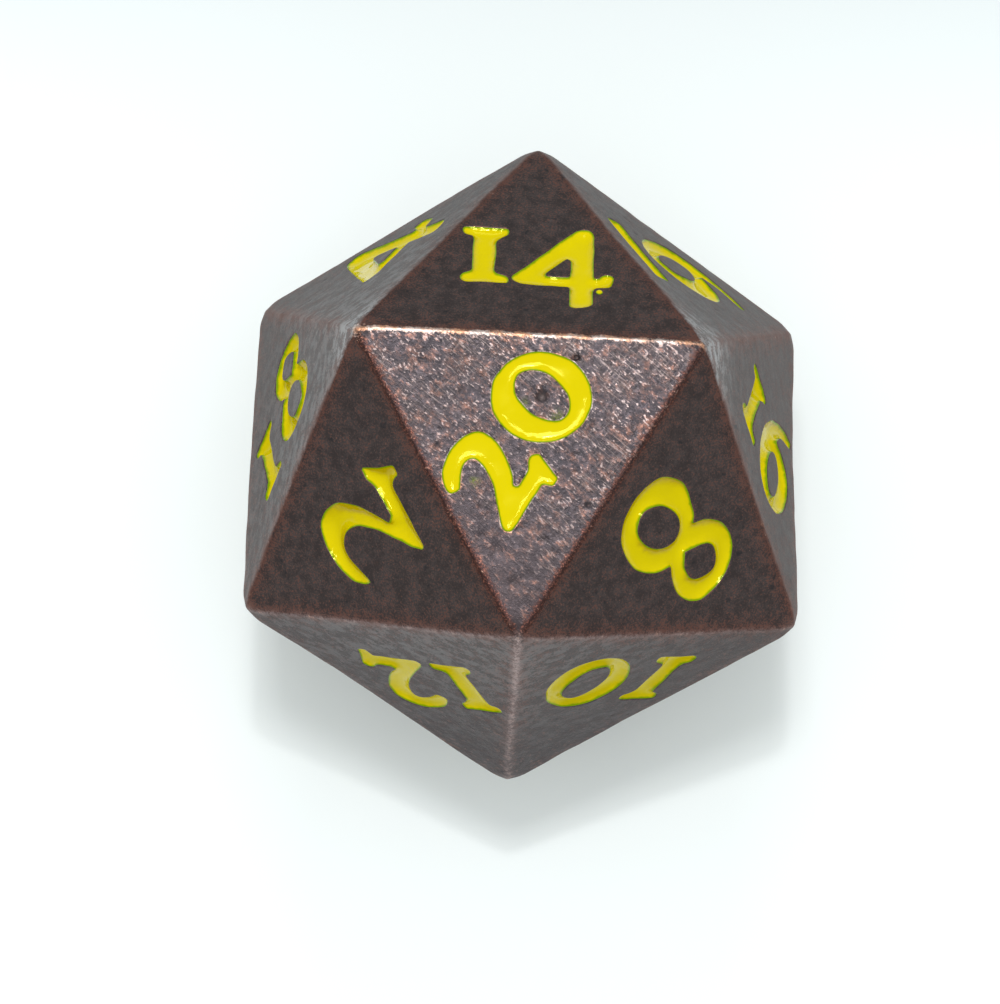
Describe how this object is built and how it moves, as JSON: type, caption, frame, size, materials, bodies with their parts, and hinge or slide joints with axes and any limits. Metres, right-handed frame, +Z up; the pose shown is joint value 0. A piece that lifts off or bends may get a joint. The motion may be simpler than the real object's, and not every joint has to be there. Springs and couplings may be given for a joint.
{
  "type": "polyhedral die",
  "caption": "Cast metal icosahedral gaming die with rounded edges and engraved old-style numerals filled with glossy yellow enamel.",
  "frame": {"origin": "middle of the footprint, on the face the die rests on (its face 1)", "axes": "+Z up through face 20; +Y towards the corner that the number 14 points to; +X to the right when face 14 is away from the viewer"},
  "size_m": [0.0214, 0.0244, 0.02],
  "materials": {
    "plated_metal": "antique copper plating on cast zinc alloy, dark in the flats and worn bright along the edges",
    "yellow_enamel": "poured glossy yellow enamel, slightly concave, with a green tinge where it thins out at its rim"
  },
  "bodies": {
    "root": {"die_body": "plated_metal", "enamel_01": "yellow_enamel", "enamel_02": "yellow_enamel", "enamel_03": "yellow_enamel", "enamel_04": "yellow_enamel", "enamel_05": "yellow_enamel", "enamel_06": "yellow_enamel", "enamel_06_underline": "yellow_enamel", "enamel_07": "yellow_enamel", "enamel_08": "yellow_enamel", "enamel_09": "yellow_enamel", "enamel_09_underline": "yellow_enamel", "enamel_10_tens": "yellow_enamel", "enamel_10_units": "yellow_enamel", "enamel_11_tens": "yellow_enamel", "enamel_11_units": "yellow_enamel", "enamel_12_tens": "yellow_enamel", "enamel_12_units": "yellow_enamel", "enamel_13_tens": "yellow_enamel", "enamel_13_units": "yellow_enamel", "enamel_14_tens": "yellow_enamel", "enamel_14_units": "yellow_enamel", "enamel_15_tens": "yellow_enamel", "enamel_15_units": "yellow_enamel", "enamel_16_tens": "yellow_enamel", "enamel_16_units": "yellow_enamel", "enamel_17_tens": "yellow_enamel", "enamel_17_units": "yellow_enamel", "enamel_18_tens": "yellow_enamel", "enamel_18_units": "yellow_enamel", "enamel_19_tens": "yellow_enamel", "enamel_19_units": "yellow_enamel", "enamel_20_tens": "yellow_enamel", "enamel_20_units": "yellow_enamel"}
  },
  "joints": []
}
